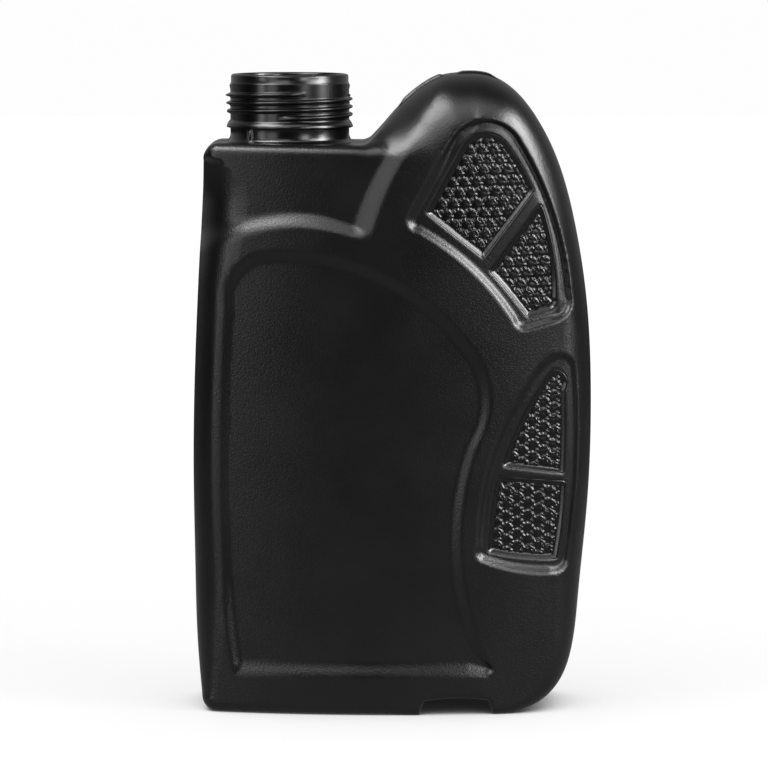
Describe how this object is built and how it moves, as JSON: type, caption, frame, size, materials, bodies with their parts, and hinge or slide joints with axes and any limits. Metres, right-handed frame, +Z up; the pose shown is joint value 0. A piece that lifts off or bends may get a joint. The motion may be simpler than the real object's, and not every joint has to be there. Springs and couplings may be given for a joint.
{
  "type": "motor oil bottle",
  "caption": "Hollow blow-moulded oil bottle with an offset open threaded neck, a hump-shaped grip handle with textured recesses, a recessed label panel and a volume scale on its narrow side",
  "frame": {"origin": "on the ground, under the middle of the bottle's bounding box", "axes": "+X from the narrow marked side towards the handle side, +Y from the front panel to the back panel, +Z up out of the neck"},
  "size_m": [0.1365, 0.058, 0.2184],
  "materials": {
    "black_plastic": "moulded black polyethylene, satin, with a fine blown grain"
  },
  "bodies": {
    "root": {"bottle": "black_plastic"}
  },
  "joints": []
}
